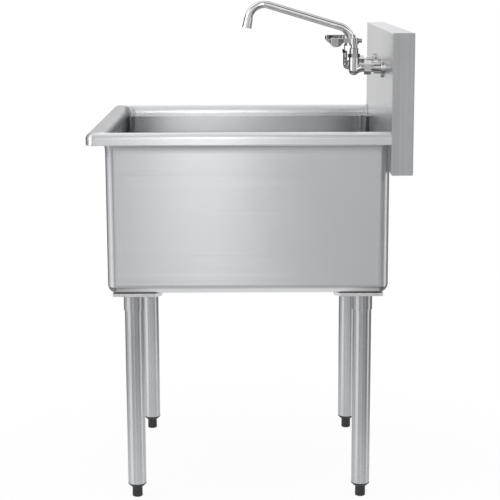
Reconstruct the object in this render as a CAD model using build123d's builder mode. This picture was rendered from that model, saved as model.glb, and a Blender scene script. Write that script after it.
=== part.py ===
"""Free-standing utility laundry sink with a splash-mounted swing tap.

Millimetres, +Z up. The floor is Z = 0, the user stands at -Y and the splash backs onto
a wall at +Y. X = 0 is the sink's centre plane and Y = 0 is midway from the front of the
rolled rim to the back of the splash. Left and right are the user's.
"""

import os
from math import cos, radians, sin

from build123d import *

# --- Bowl and rolled rim -------------------------------------------------------------
sheet = 1.2
bowl_width = 610.0
bowl_length = 610.0
bowl_depth = 354.2
bowl_corner_radius = 20.0
bowl_floor_radius = 19.0
floor_clearance = 480.0

rim_width = 38.0
rim_height = 26.2
rim_inner_radius = 18.0
rim_outer_radius = 12.0
rim_under_radius = 2.5
rim_corner_radius = 20.0
rim_return = 14.0

# --- Splash --------------------------------------------------------------------------
splash_rise = 207.8
splash_drop = 91.2
splash_depth = 46.0
splash_bend_radius = 2.4
splash_return = 20.0
cap_flange = 20.0
cap_front_lap = 8.0

# --- Drain ---------------------------------------------------------------------------
recess_radius = 58.0
recess_depth = 3.5
recess_flare = 4.0
strainer_radius = 44.0
strainer_wall = 1.8
strainer_flange_radius = 56.0
strainer_flange = 2.5
strainer_cup_depth = 38.0
strainer_base = 2.5
drain_hole_clearance = 1.0
seal_thickness = 0.5
gasket_radius = 55.0
gasket_thickness = 3.0
friction_ring_thickness = 1.2
locknut_height = 12.0
locknut_radius = 52.0
locknut_lugs = 8
outlet_radius = 24.1
outlet_bore_radius = 19.0
outlet_length = 17.0
basket_wall = 1.0
basket_depth = 22.0
basket_clearance = 2.5
basket_lip = 1.2
basket_lip_width = 3.6
basket_holes = 12
basket_hole_circle = 33.4
basket_hole_radius = 2.4
knob_radius = 7.0
knob_height = 8.0
knob_edge = 2.0
knob_post_radius = 3.0
stopper_radius = 30.0
stopper_height = 4.0
stopper_edge = 2.0

# --- Legs ----------------------------------------------------------------------------
leg_radius = 20.65
leg_wall = 1.55
leg_inset = 52.0
gusset_sheet = 2.5
gusset_edge = 1.2
gusset_height = 7.5
gusset_outer_reach = 43.0
gusset_inner_reach = 64.0
gusset_outer_clip = 3.0
gusset_side_clip = 12.0
gusset_inner_clip = 18.0
socket_wall = 1.6
socket_length = 38.0
socket_clearance = 0.15
set_screw_radius = 4.0
set_screw_length = 6.0
set_screw_socket = 2.0
set_screw_socket_depth = 3.0
set_screw_height = 14.0

foot_height = 22.5
foot_radius = 11.7
foot_draft = 0.4
foot_edge = 2.5
foot_stem_radius = 6.0
foot_stem_length = 35.0
foot_stem_edge = 1.0
insert_collar = 2.5
insert_taper = 8.0
insert_nose_radius = 12.2
insert_plug_length = 28.0

# --- Tap -----------------------------------------------------------------------------
inlet_spacing = 203.2
inlet_rise = 121.8
tap_reach = 64.5
running_clearance = 0.05
fixed_clearance = 0.1
free_clearance = 0.3

valve_radius = 11.8
valve_bore_radius = 8.0
elbow_drop = 5.5
valve_top_rise = 22.5
valve_bore_depth = 24.0
arm_radius = 9.8
arm_bend_radius = 14.7
arm_slope_run = 16.5
waterway_radius = 5.5
bridge_radius = 10.0
bridge_rise = 5.0
post_radius = 13.0
post_edge = 4.3
post_drop = 1.5
post_rise = 39.0
post_socket_depth = 12.0

shank_radius = 13.6
shank_neck_radius = 10.0
shank_neck_length = 7.0
shank_thread_radius = 12.0
shank_bore_radius = 6.5
shank_tail_reach = 12.0
supply_radius = 10.5
supply_length = 22.0
splash_hole_clearance = 1.0
union_gap = 21.75
union_length = 15.0
union_radius = 16.0
union_lip = 2.2
union_collar = 1.8
union_collar_radius = 11.7
flange_radius = 22.4
flange_thickness = 5.0
flange_edge = 3.0
locknut_thickness = 8.0
shank_locknut_radius = 19.0

bonnet_nut_flats = 23.4
bonnet_nut_height = 8.5
bonnet_radius = 9.75
bonnet_height = 12.7
bonnet_edge = 1.0
bonnet_spigot = 8.0
packing_radius = 7.5
packing_height = 8.0
packing_spigot_radius = 6.5
packing_spigot = 6.0
stem_radius = 4.5
stem_disc_radius = 7.5
stem_disc_height = 10.0

hub_radius = 10.4
hub_height = 13.8
hub_edge = 0.7
stem_top_cover = 4.5
lever_reach = 55.5
lever_top_drop = 0.9
lever_neck_depth = 9.5
lever_neck_width = 10.0
paddle_width = 16.0
paddle_depth = 19.2
paddle_length = 29.0
paddle_nose = 5.4
paddle_chin = 8.6
paddle_belly = 13.0
throat_drop = 2.0
throat_run = 3.0
shoulder_run = 12.0
lever_edge = 1.5
boss_radius = 4.9
boss_reach = 17.3
handle_screw_radius = 2.5
handle_screw_recess = 1.0
index_radius = 6.0
index_height = 1.8
index_proud = 0.8
index_edge = 0.6

spout_radius = 9.0
spout_wall = 1.2
spout_collar_radius = 12.0
spout_collar_height = 3.5
spout_washer_height = 1.5
spout_slope = 16.75
spout_heel_radius = 36.0
spout_straight = 1.5
spout_run = 172.8
spout_nose_radius = 36.0
spout_nose_tilt = 11.0
spout_drop = 11.0
spout_nut_radius = 16.0
spout_nut_skirt = 6.0
spout_nut_cap = 7.7
spout_nut_edge = 2.5
outlet_sleeve_length = 24.0
outlet_sleeve_radius = 11.0
outlet_sleeve_top_radius = 9.9
outlet_sleeve_lap = 10.0
aerator_radius = 7.6
aerator_thickness = 3.0
aerator_holes = 8
aerator_hole_circle = 4.6
aerator_hole_radius = 1.2

# --- Places worked out from the sizes ------------------------------------------------
half_depth = (rim_width + bowl_length + splash_depth) / 2
rim_front_y = -half_depth
bowl_front_y = rim_front_y + rim_width
splash_front_y = bowl_front_y + bowl_length
splash_back_y = splash_front_y + splash_depth
bowl_mid_y = (bowl_front_y + splash_front_y) / 2
bowl_half = bowl_width / 2
rim_half = bowl_half + rim_width

bowl_under_z = floor_clearance
bowl_floor_z = bowl_under_z + sheet
rim_top_z = bowl_floor_z + bowl_depth
rim_bottom_z = rim_top_z - rim_height
splash_top_z = rim_top_z + splash_rise
splash_bottom_z = rim_top_z - splash_drop
cap_inner_x = rim_half - sheet

recess_floor_z = bowl_floor_z - recess_depth
recess_under_z = recess_floor_z - sheet
strainer_hole_radius = strainer_radius + drain_hole_clearance
strainer_bore_radius = strainer_radius - strainer_wall
strainer_seat_z = recess_floor_z + seal_thickness
strainer_top_z = strainer_seat_z + strainer_flange
strainer_bottom_z = strainer_top_z - strainer_cup_depth
strainer_under_z = strainer_bottom_z - strainer_base
basket_ledge_radius = strainer_bore_radius + basket_lip_width
basket_ledge_z = strainer_top_z - basket_lip
basket_radius = strainer_bore_radius - basket_clearance
basket_floor_z = basket_ledge_z - basket_depth

leg_x = bowl_half - leg_inset
leg_offset_y = bowl_length / 2 - leg_inset
gusset_under_z = bowl_under_z - gusset_height
leg_top_z = bowl_under_z - gusset_sheet
socket_bore_radius = leg_radius + socket_clearance
socket_radius = socket_bore_radius + socket_wall
socket_bottom_z = gusset_under_z - socket_length
insert_shoulder_z = foot_height + insert_taper
leg_bottom_z = insert_shoulder_z + insert_collar
leg_bore_radius = leg_radius - leg_wall

valve_x = inlet_spacing / 2
inlet_z = rim_top_z + inlet_rise
tap_y = splash_front_y - tap_reach
elbow_z = inlet_z - elbow_drop
valve_top_z = inlet_z + valve_top_rise
valve_floor_z = valve_top_z - valve_bore_depth
bonnet_base_z = valve_top_z + bonnet_nut_height
bonnet_top_z = bonnet_base_z + bonnet_height
packing_top_z = bonnet_top_z + packing_height
hub_bottom_z = packing_top_z + free_clearance
hub_top_z = hub_bottom_z + hub_height
stem_top_z = hub_top_z - stem_top_cover

flange_front_y = splash_front_y - flange_thickness
union_back_y = flange_front_y - union_gap
union_front_y = union_back_y - union_length
arm_end_y = union_front_y + union_lip + union_collar
shank_front_y = arm_end_y
supply_front_y = splash_front_y + shank_tail_reach
supply_back_y = supply_front_y + supply_length

bridge_z = inlet_z + bridge_rise
post_top_z = inlet_z + post_rise
post_floor_z = post_top_z - post_socket_depth
spout_collar_z = post_top_z + spout_washer_height
spout_nut_step_z = spout_collar_z + spout_collar_height + free_clearance
spout_nut_top_z = spout_nut_step_z + spout_nut_cap
spout_nut_bottom_z = post_top_z - spout_nut_skirt

CORNERS = {"rear_right": 0, "rear_left": 90, "front_left": 180, "front_right": 270}
SIDES = {"left": -1, "right": 1}

os.makedirs("parts", exist_ok=True)


def save(piece, name):
    """Labels a finished piece and writes it as its own STEP file."""
    piece.part.label = name
    export_step(piece.part, f"parts/{name}.step")


def corner_plane(angle, height):
    """Plane at a leg's axis whose local +X +Y corner is the bowl's outer corner."""
    side = 1 if angle in (0, 270) else -1
    end = 1 if angle in (0, 90) else -1
    origin = (side * leg_x, bowl_mid_y + end * leg_offset_y, height)
    return Plane(origin, x_dir=(cos(radians(angle)), sin(radians(angle)), 0), z_dir=(0, 0, 1))


def along_y(y):
    """Plane at Y = y with local x = X and local y = Z, facing the user."""
    return Plane.XZ.offset(-y)


def ring(plane, outer, inner):
    """Flat ring on plane, ready to extrude into a tube or washer."""
    with BuildSketch(plane) as profile:
        Circle(outer)
        Circle(inner, mode=Mode.SUBTRACT)
    return profile.sketch


# --- Bowl ----------------------------------------------------------------------------
with BuildPart() as sink_bowl:
    with BuildSketch(Plane.XY.offset(bowl_under_z)):
        with Locations((0, bowl_mid_y)):
            RectangleRounded(
                bowl_width + 2 * sheet, bowl_length + 2 * sheet, bowl_corner_radius + sheet
            )
    extrude(amount=rim_bottom_z - bowl_under_z)
    fillet(sink_bowl.faces().sort_by(Axis.Z)[0].edges(), bowl_floor_radius + sheet)
    offset(amount=-sheet, openings=sink_bowl.faces().sort_by(Axis.Z)[-1])
    with Locations((0, bowl_mid_y, recess_under_z)):
        Cone(
            recess_radius + sheet,
            recess_radius + sheet + recess_flare,
            recess_depth,
            align=(Align.CENTER, Align.CENTER, Align.MIN),
        )
    with Locations((0, bowl_mid_y, recess_floor_z)):
        Cone(
            recess_radius,
            recess_radius + recess_flare,
            recess_depth,
            align=(Align.CENTER, Align.CENTER, Align.MIN),
            mode=Mode.SUBTRACT,
        )
    with Locations((0, bowl_mid_y, recess_floor_z)):
        Hole(strainer_hole_radius, depth=2 * sheet)
save(sink_bowl, "sink_bowl")


# --- Rolled rim ----------------------------------------------------------------------
def rim_envelope(inset):
    """Outline of the three-sided roll, drawn in from its skin by inset."""
    back_y = splash_front_y + inset
    opening = bowl_half + inset
    opening_front_y = bowl_front_y - inset
    with BuildPart() as roll:
        with BuildSketch(Plane.XY.offset(rim_bottom_z + inset)):
            with Locations((0, (rim_front_y + inset + back_y) / 2)):
                Rectangle(2 * (rim_half - inset), back_y - rim_front_y - inset)
        extrude(amount=rim_height - 2 * inset)
        corners = roll.edges().filter_by(Axis.Z).group_by(Axis.Y)[0]
        fillet(corners, rim_corner_radius - inset)
        top = roll.faces().sort_by(Axis.Z)[-1].edges().sort_by(Axis.Y)[:-1]
        fillet(top, rim_outer_radius - inset)
        under = roll.faces().sort_by(Axis.Z)[0].edges().sort_by(Axis.Y)[:-1]
        fillet(under, rim_under_radius - inset)
        with BuildSketch(Plane.XY.offset(rim_bottom_z)) as hole:
            length = back_y - opening_front_y
            with Locations((0, opening_front_y + length / 2)):
                Rectangle(2 * opening, length)
            front = hole.vertices().group_by(Axis.Y)[0]
            fillet(front, bowl_corner_radius + inset)
        extrude(amount=rim_height, mode=Mode.SUBTRACT)
        top_edges = roll.faces().sort_by(Axis.Z)[-1].edges()
        opening_edges = top_edges.filter_by(
            lambda edge: abs(edge.center().X) < opening + 1
            and opening_front_y - 1 < edge.center().Y < back_y - 1
        )
        fillet(opening_edges, rim_inner_radius - inset)
    return roll.part


with BuildPart() as rolled_rim:
    add(rim_envelope(0))
    add(rim_envelope(sheet), mode=Mode.SUBTRACT)
    with BuildSketch(Plane.XY.offset(rim_bottom_z - sheet)) as under_slot:
        slot_front_y = rim_front_y + rim_return
        slot_length = splash_front_y - slot_front_y
        with Locations((0, slot_front_y + slot_length / 2)):
            Rectangle(2 * (rim_half - rim_return), slot_length)
        wall_front_y = bowl_front_y - sheet
        wall_length = splash_front_y - wall_front_y
        with BuildSketch(mode=Mode.PRIVATE) as wall:
            with Locations((0, wall_front_y + wall_length / 2)):
                Rectangle(2 * (bowl_half + sheet), wall_length)
            fillet(wall.vertices().group_by(Axis.Y)[0], bowl_corner_radius + sheet)
        add(wall.sketch, mode=Mode.SUBTRACT)
    extrude(amount=2 * sheet + rim_under_radius, mode=Mode.SUBTRACT)


def mitre(side):
    """Plane across a front corner of the rim, facing its side length."""
    centre_x = bowl_half - bowl_corner_radius
    centre_y = bowl_front_y + bowl_corner_radius
    return Plane((side * centre_x, centre_y, 0), z_dir=(side, 1, 0))


with BuildPart() as rim_front:
    add(rolled_rim.part)
    for side in SIDES.values():
        split(bisect_by=mitre(side), keep=Keep.BOTTOM)
save(rim_front, "rim_front")

for side_name, side in SIDES.items():
    with BuildPart() as rim_side:
        add(rolled_rim.part)
        split(bisect_by=Plane((0, 0, 0), z_dir=(side, 0, 0)), keep=Keep.TOP)
        split(bisect_by=mitre(side), keep=Keep.TOP)
    save(rim_side, f"rim_{side_name}")


# --- Splash --------------------------------------------------------------------------
splash_mid_y = (splash_front_y + splash_back_y) / 2

with BuildPart() as backsplash:
    with BuildSketch(Plane.YZ.offset(-cap_inner_x)) as fold:
        fold_height = splash_top_z - rim_bottom_z
        with Locations((splash_mid_y, splash_top_z - fold_height / 2)):
            Rectangle(splash_depth, fold_height)
        fillet(fold.vertices().group_by(Axis.Y)[-1], splash_bend_radius)
        with Locations((splash_mid_y, splash_top_z - sheet)):
            Rectangle(
                splash_depth - 2 * sheet,
                fold_height,
                align=(Align.CENTER, Align.MAX),
                mode=Mode.SUBTRACT,
            )
        with Locations((splash_back_y, rim_bottom_z)):
            Rectangle(
                sheet,
                fold_height - splash_return,
                align=(Align.MAX, Align.MIN),
                mode=Mode.SUBTRACT,
            )
    extrude(amount=2 * cap_inner_x)
    with BuildSketch(along_y(splash_front_y)):
        with Locations((-valve_x, inlet_z), (valve_x, inlet_z)):
            Circle(shank_radius + splash_hole_clearance)
    extrude(amount=-2 * sheet, mode=Mode.SUBTRACT)
save(backsplash, "backsplash")

with BuildPart() as end_cap:
    with BuildSketch(Plane.YZ.offset(cap_inner_x)) as cap_face:
        with Locations((splash_mid_y, (splash_bottom_z + splash_top_z) / 2)):
            Rectangle(splash_depth, splash_top_z - splash_bottom_z)
        fillet(cap_face.vertices(), splash_bend_radius)
    extrude(amount=sheet)
    front_flange = cap_inner_x - bowl_half + cap_front_lap
    with BuildSketch(along_y(splash_front_y)):
        with Locations((cap_inner_x, rim_bottom_z)):
            Rectangle(
                front_flange,
                rim_bottom_z - splash_bottom_z - splash_bend_radius,
                align=(Align.MAX, Align.MAX),
            )
    extrude(amount=-sheet)
    with BuildSketch(Plane.XY.offset(splash_bottom_z)):
        with Locations((cap_inner_x, splash_mid_y)):
            Rectangle(
                cap_flange,
                splash_depth - 2 * splash_bend_radius,
                align=(Align.MAX, Align.CENTER),
            )
    extrude(amount=sheet)
    with BuildSketch(along_y(splash_back_y)):
        with Locations((cap_inner_x, splash_top_z - splash_return)):
            Rectangle(
                cap_flange,
                splash_top_z - splash_return - splash_bottom_z - splash_bend_radius,
                align=(Align.MAX, Align.MAX),
            )
    extrude(amount=sheet)
save(end_cap, "end_cap_right")

with BuildPart() as end_cap_left:
    mirror(end_cap.part, about=Plane.YZ)
save(end_cap_left, "end_cap_left")


# --- Drain ---------------------------------------------------------------------------
def drain_plane(height):
    return Plane((0, bowl_mid_y, height))


with BuildPart() as strainer_body:
    extrude(
        ring(drain_plane(strainer_seat_z), strainer_flange_radius, strainer_bore_radius),
        amount=strainer_flange,
    )
    with Locations(drain_plane(strainer_top_z)):
        Hole(basket_ledge_radius, depth=basket_lip)
    extrude(
        ring(drain_plane(strainer_under_z), strainer_radius, strainer_bore_radius),
        amount=strainer_seat_z - strainer_under_z,
    )
    extrude(
        ring(drain_plane(strainer_under_z), strainer_radius, outlet_bore_radius),
        amount=strainer_base,
    )
    extrude(
        ring(drain_plane(strainer_under_z - outlet_length), outlet_radius, outlet_bore_radius),
        amount=outlet_length,
    )
save(strainer_body, "strainer_body")

with BuildPart() as strainer_seal:
    extrude(
        ring(drain_plane(recess_floor_z), strainer_flange_radius, strainer_hole_radius),
        amount=seal_thickness,
    )
save(strainer_seal, "strainer_seal")

gasket_bore_radius = strainer_radius + fixed_clearance
gasket_bottom_z = recess_under_z - gasket_thickness
with BuildPart() as drain_gasket:
    extrude(
        ring(drain_plane(gasket_bottom_z), gasket_radius, gasket_bore_radius),
        amount=gasket_thickness,
    )
save(drain_gasket, "drain_gasket")

friction_ring_z = gasket_bottom_z - friction_ring_thickness
with BuildPart() as friction_ring:
    extrude(
        ring(drain_plane(friction_ring_z), gasket_radius, gasket_bore_radius),
        amount=friction_ring_thickness,
    )
save(friction_ring, "friction_ring")

locknut_bottom_z = friction_ring_z - locknut_height
with BuildPart() as drain_locknut:
    extrude(
        ring(drain_plane(locknut_bottom_z), locknut_radius, gasket_bore_radius),
        amount=locknut_height,
    )
    with BuildSketch(drain_plane(locknut_bottom_z)):
        with PolarLocations(locknut_radius, locknut_lugs):
            Rectangle(locknut_height, locknut_height)
        Circle(gasket_bore_radius, mode=Mode.SUBTRACT)
    extrude(amount=locknut_height / 2)
save(drain_locknut, "drain_locknut")

with BuildPart() as strainer_basket:
    lip_radius = basket_ledge_radius - free_clearance
    extrude(
        ring(drain_plane(basket_ledge_z), lip_radius, basket_radius - basket_wall),
        amount=basket_lip,
    )
    with BuildSketch(drain_plane(basket_floor_z)):
        Circle(basket_radius)
    extrude(amount=basket_depth)
    with BuildSketch(drain_plane(basket_floor_z + basket_wall)):
        Circle(basket_radius - basket_wall)
    extrude(amount=basket_depth, mode=Mode.SUBTRACT)
    with BuildSketch(drain_plane(basket_floor_z)):
        with PolarLocations(basket_hole_circle, basket_holes):
            Circle(basket_hole_radius)
    extrude(amount=basket_wall, mode=Mode.SUBTRACT)
    with BuildSketch(drain_plane(basket_floor_z)):
        Circle(knob_post_radius)
    extrude(amount=basket_depth + knob_height)
    with BuildSketch(drain_plane(basket_floor_z + basket_depth)):
        Circle(knob_radius)
    extrude(amount=knob_height)
    knob_rim = strainer_basket.faces().sort_by(Axis.Z)[-1].edges()
    fillet(knob_rim, knob_edge)
save(strainer_basket, "strainer_basket")

with BuildPart() as basket_stopper:
    with BuildSketch(drain_plane(basket_floor_z)):
        Circle(stopper_radius)
    extrude(amount=-stopper_height)
    chamfer(basket_stopper.faces().sort_by(Axis.Z)[0].edges(), stopper_edge)
save(basket_stopper, "basket_stopper")


# --- Legs ----------------------------------------------------------------------------
def gusset_plate(angle):
    """Formed plate with clipped corners and a turned-down edge."""
    span = gusset_outer_reach + gusset_inner_reach
    middle = (gusset_outer_reach - gusset_inner_reach) / 2

    def outline(inset):
        with BuildSketch(mode=Mode.PRIVATE) as plan:
            with Locations((middle, middle)):
                Rectangle(span - 2 * inset, span - 2 * inset)
            by_diagonal = plan.vertices().sort_by(lambda corner: corner.X + corner.Y)
            chamfer(by_diagonal[0], gusset_inner_clip)
            by_diagonal = plan.vertices().sort_by(lambda corner: corner.X + corner.Y)
            chamfer(by_diagonal[-1], gusset_outer_clip)
            across = plan.vertices().sort_by(lambda corner: corner.X - corner.Y)
            chamfer([across[0], across[-1]], gusset_side_clip)
        return plan.sketch

    with BuildPart() as plate:
        with BuildSketch(corner_plane(angle, gusset_under_z)):
            add(outline(0))
        extrude(amount=gusset_height)
        fillet(plate.faces().sort_by(Axis.Z)[-1].edges(), gusset_edge)
        with BuildSketch(corner_plane(angle, gusset_under_z)):
            add(outline(gusset_sheet))
        extrude(amount=gusset_height - gusset_sheet, mode=Mode.SUBTRACT)
    return plate


def leg_socket(angle):
    """Round socket under the plate, drilled for its set screw on the inner side."""
    with BuildPart() as socket:
        extrude(
            ring(corner_plane(angle, socket_bottom_z), socket_radius, socket_bore_radius),
            amount=leg_top_z - socket_bottom_z,
        )
        with BuildSketch(screw_plane(angle)):
            Circle(set_screw_radius + running_clearance)
        extrude(amount=socket_radius, mode=Mode.SUBTRACT)
    return socket


def screw_plane(angle):
    """Plane on a leg's axis, facing the sink's centre plane, at its set screw."""
    centre = corner_plane(angle, socket_bottom_z + set_screw_height).origin
    facing = -1 if centre.X > 0 else 1
    return Plane(centre, x_dir=(0, 1, 0), z_dir=(facing, 0, 0))


def foot_insert(angle):
    """Collar plug in the tube's end, tapered down to the foot."""
    with BuildPart() as insert:
        with BuildSketch(corner_plane(angle, insert_shoulder_z)):
            Circle(leg_radius)
        extrude(amount=insert_collar)
        with BuildSketch(corner_plane(angle, insert_shoulder_z)):
            Circle(leg_radius)
        with BuildSketch(corner_plane(angle, foot_height)):
            Circle(insert_nose_radius)
        loft()
        with BuildSketch(corner_plane(angle, leg_bottom_z)):
            Circle(leg_bore_radius - running_clearance)
        extrude(amount=insert_plug_length)
        with BuildSketch(corner_plane(angle, foot_height)):
            Circle(foot_stem_radius + running_clearance)
        extrude(amount=leg_bottom_z + insert_plug_length - foot_height, mode=Mode.SUBTRACT)
    return insert


def bullet_foot(angle):
    """Drafted bullet with a rounded toe on its screw stem."""
    with BuildPart() as foot:
        with BuildSketch(corner_plane(angle, 0)):
            Circle(foot_radius)
        with BuildSketch(corner_plane(angle, foot_height)):
            Circle(foot_radius - foot_draft)
        loft()
        fillet(foot.faces().sort_by(Axis.Z)[0].edges(), foot_edge)
        with BuildSketch(corner_plane(angle, foot_height)):
            Circle(foot_stem_radius)
        extrude(amount=foot_stem_length)
        chamfer(foot.faces().sort_by(Axis.Z)[-1].edges(), foot_stem_edge)
    return foot


for corner_name, corner_angle in CORNERS.items():
    save(gusset_plate(corner_angle), f"gusset_plate_{corner_name}")
    save(leg_socket(corner_angle), f"leg_socket_{corner_name}")
    with BuildPart() as leg_tube:
        extrude(
            ring(corner_plane(corner_angle, leg_bottom_z), leg_radius, leg_bore_radius),
            amount=leg_top_z - leg_bottom_z,
        )
    save(leg_tube, f"leg_tube_{corner_name}")
    save(foot_insert(corner_angle), f"foot_insert_{corner_name}")
    save(bullet_foot(corner_angle), f"bullet_foot_{corner_name}")

with BuildPart() as leg_set_screws:
    for corner_angle in CORNERS.values():
        with BuildSketch(screw_plane(corner_angle).offset(leg_radius)):
            Circle(set_screw_radius)
        extrude(amount=set_screw_length)
        with BuildSketch(screw_plane(corner_angle).offset(leg_radius + set_screw_length)):
            RegularPolygon(set_screw_socket, 6)
        extrude(amount=-set_screw_socket_depth, mode=Mode.SUBTRACT)
save(leg_set_screws, "leg_set_screws")

# --- Tap body ------------------------------------------------------------------------
def arm_path(x):
    """Path of a valve's arm, from inside the housing up and back to its union."""
    with BuildLine(Plane.YZ.offset(x)) as path:
        FilletPolyline(
            (tap_y, elbow_z),
            (tap_y + arm_slope_run, inlet_z),
            (arm_end_y, inlet_z),
            radius=arm_bend_radius,
        )
    return path.line


def arm_section(x, radius):
    """Round section at the housing end of a valve's arm."""
    path = arm_path(x)
    with BuildSketch(Plane(path @ 0, x_dir=(1, 0, 0), z_dir=path % 0)) as section:
        Circle(radius)
    return section.sketch


with BuildPart() as faucet_body:
    with BuildSketch(Plane((0, tap_y, bridge_z - bridge_radius - post_drop))):
        Circle(post_radius)
    extrude(amount=post_top_z - bridge_z + bridge_radius + post_drop)
    fillet(faucet_body.faces().sort_by(Axis.Z)[0].edges(), post_edge)
    for side in SIDES.values():
        x = side * valve_x
        with BuildSketch(Plane((x, tap_y, elbow_z - valve_radius))):
            Circle(valve_radius)
        extrude(amount=valve_top_z - elbow_z + valve_radius)
    fillet(
        faucet_body.faces().filter_by(Axis.Z).group_by(Axis.Z)[0].edges(),
        valve_radius - running_clearance,
    )
    for side in SIDES.values():
        x = side * valve_x
        sweep(sections=arm_section(x, arm_radius), path=arm_path(x))
        with BuildSketch(along_y(arm_end_y)):
            with Locations((x, inlet_z)):
                Circle(union_collar_radius)
        extrude(amount=union_collar)
    with BuildSketch(Plane.YZ.offset(-valve_x)):
        with Locations((tap_y, bridge_z)):
            Circle(bridge_radius)
    extrude(amount=inlet_spacing)
    for side in SIDES.values():
        x = side * valve_x
        sweep(sections=arm_section(x, waterway_radius), path=arm_path(x), mode=Mode.SUBTRACT)
        with BuildSketch(Plane((x, tap_y, elbow_z))):
            Circle(waterway_radius + free_clearance)
        extrude(amount=valve_floor_z - elbow_z, mode=Mode.SUBTRACT)
        with BuildSketch(Plane((x, tap_y, valve_floor_z))):
            Circle(valve_bore_radius)
        extrude(amount=valve_bore_depth, mode=Mode.SUBTRACT)
    with BuildSketch(Plane.YZ.offset(-valve_x)):
        with Locations((tap_y, bridge_z)):
            Circle(waterway_radius)
    extrude(amount=inlet_spacing, mode=Mode.SUBTRACT)
    with BuildSketch(Plane((0, tap_y, bridge_z))):
        Circle(waterway_radius - free_clearance)
    extrude(amount=post_top_z - bridge_z, mode=Mode.SUBTRACT)
    with BuildSketch(Plane((0, tap_y, post_floor_z))):
        Circle(spout_radius + running_clearance)
    extrude(amount=post_socket_depth, mode=Mode.SUBTRACT)
save(faucet_body, "faucet_body")

# --- Inlets --------------------------------------------------------------------------
for side_name, side in SIDES.items():
    x = side * valve_x
    shank_back_y = union_back_y + shank_neck_length
    with BuildPart() as inlet_shank:
        stations = [
            (shank_front_y, union_back_y, shank_thread_radius),
            (union_back_y, shank_back_y, shank_neck_radius),
            (shank_back_y, supply_front_y, shank_radius),
            (supply_front_y, supply_back_y, supply_radius),
        ]
        for start_y, end_y, radius in stations:
            with BuildSketch(along_y(start_y)):
                with Locations((x, inlet_z)):
                    Circle(radius)
            extrude(amount=start_y - end_y)
        with BuildSketch(along_y(shank_front_y)):
            with Locations((x, inlet_z)):
                Circle(shank_bore_radius)
        extrude(amount=shank_front_y - supply_back_y, mode=Mode.SUBTRACT)
    save(inlet_shank, f"inlet_shank_{side_name}")

inlet_centres = [(-valve_x, inlet_z), (valve_x, inlet_z)]

with BuildPart() as coupling_nuts:
    with BuildSketch(along_y(union_front_y)):
        with Locations(*inlet_centres):
            RegularPolygon(union_radius, 6, rotation=90)
    extrude(amount=-union_length)
    with BuildSketch(along_y(union_front_y)):
        with Locations(*inlet_centres):
            Circle(arm_radius + fixed_clearance)
    extrude(amount=-union_lip, mode=Mode.SUBTRACT)
    with BuildSketch(along_y(union_front_y + union_lip)):
        with Locations(*inlet_centres):
            Circle(shank_thread_radius + running_clearance)
    extrude(amount=union_lip - union_length, mode=Mode.SUBTRACT)
save(coupling_nuts, "coupling_nuts")

with BuildPart() as wall_flanges:
    with BuildSketch(along_y(splash_front_y)):
        with Locations(*inlet_centres):
            Circle(flange_radius)
    extrude(amount=flange_thickness)
    fillet(
        wall_flanges.faces().filter_by(Axis.Y).group_by(Axis.Y)[0].edges(),
        flange_edge,
    )
    with BuildSketch(along_y(splash_front_y)):
        with Locations(*inlet_centres):
            Circle(shank_radius + running_clearance)
    extrude(amount=flange_thickness, mode=Mode.SUBTRACT)
save(wall_flanges, "wall_flanges")

with BuildPart() as shank_locknuts:
    with BuildSketch(along_y(splash_front_y + sheet)):
        with Locations(*inlet_centres):
            RegularPolygon(shank_locknut_radius, 6)
            Circle(shank_radius + running_clearance, mode=Mode.SUBTRACT)
    extrude(amount=-locknut_thickness)
save(shank_locknuts, "shank_locknuts")

# --- Valve tops ----------------------------------------------------------------------
valve_centres = [(-valve_x, tap_y), (valve_x, tap_y)]

with BuildPart() as bonnet_nuts:
    with BuildSketch(Plane.XY.offset(valve_top_z)):
        with Locations(*valve_centres):
            RegularPolygon(bonnet_nut_flats / 2, 6, major_radius=False, rotation=30)
    extrude(amount=bonnet_nut_height)
    with BuildSketch(Plane.XY.offset(bonnet_base_z)):
        with Locations(*valve_centres):
            Circle(bonnet_radius)
    extrude(amount=bonnet_height)
    chamfer(
        bonnet_nuts.faces().filter_by(Axis.Z).group_by(Axis.Z)[-1].edges(),
        bonnet_edge,
    )
    with BuildSketch(Plane.XY.offset(valve_top_z)):
        with Locations(*valve_centres):
            Circle(valve_bore_radius - running_clearance)
    extrude(amount=-bonnet_spigot)
    with BuildSketch(Plane.XY.offset(valve_top_z - bonnet_spigot)):
        with Locations(*valve_centres):
            Circle(stem_radius + free_clearance)
    extrude(amount=bonnet_top_z - valve_top_z + bonnet_spigot, mode=Mode.SUBTRACT)
    with BuildSketch(Plane.XY.offset(bonnet_top_z)):
        with Locations(*valve_centres):
            Circle(packing_spigot_radius + fixed_clearance)
    extrude(amount=-packing_spigot, mode=Mode.SUBTRACT)
save(bonnet_nuts, "bonnet_nuts")

with BuildPart() as packing_nuts:
    with BuildSketch(Plane.XY.offset(bonnet_top_z)):
        with Locations(*valve_centres):
            Circle(packing_radius)
    extrude(amount=packing_height)
    with BuildSketch(Plane.XY.offset(bonnet_top_z)):
        with Locations(*valve_centres):
            Circle(packing_spigot_radius)
    extrude(amount=-packing_spigot)
    with BuildSketch(Plane.XY.offset(bonnet_top_z - packing_spigot)):
        with Locations(*valve_centres):
            Circle(stem_radius + running_clearance)
    extrude(amount=packing_spigot + packing_height, mode=Mode.SUBTRACT)
save(packing_nuts, "packing_nuts")


def valve_stem(x):
    """Stem with its sealing disc, carried by the packing nut."""
    with BuildPart() as stem:
        with BuildSketch(Plane((x, tap_y, valve_floor_z + free_clearance))):
            Circle(stem_disc_radius)
        extrude(amount=stem_disc_height)
        with BuildSketch(Plane((x, tap_y, valve_floor_z + free_clearance))):
            Circle(stem_radius)
        extrude(amount=stem_top_z - valve_floor_z - free_clearance)
    return stem


# --- Levers --------------------------------------------------------------------------
lever_top_z = hub_top_z - lever_top_drop
paddle_back_y = tap_y - lever_reach + paddle_length
screw_z = lever_top_z - boss_radius


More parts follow.
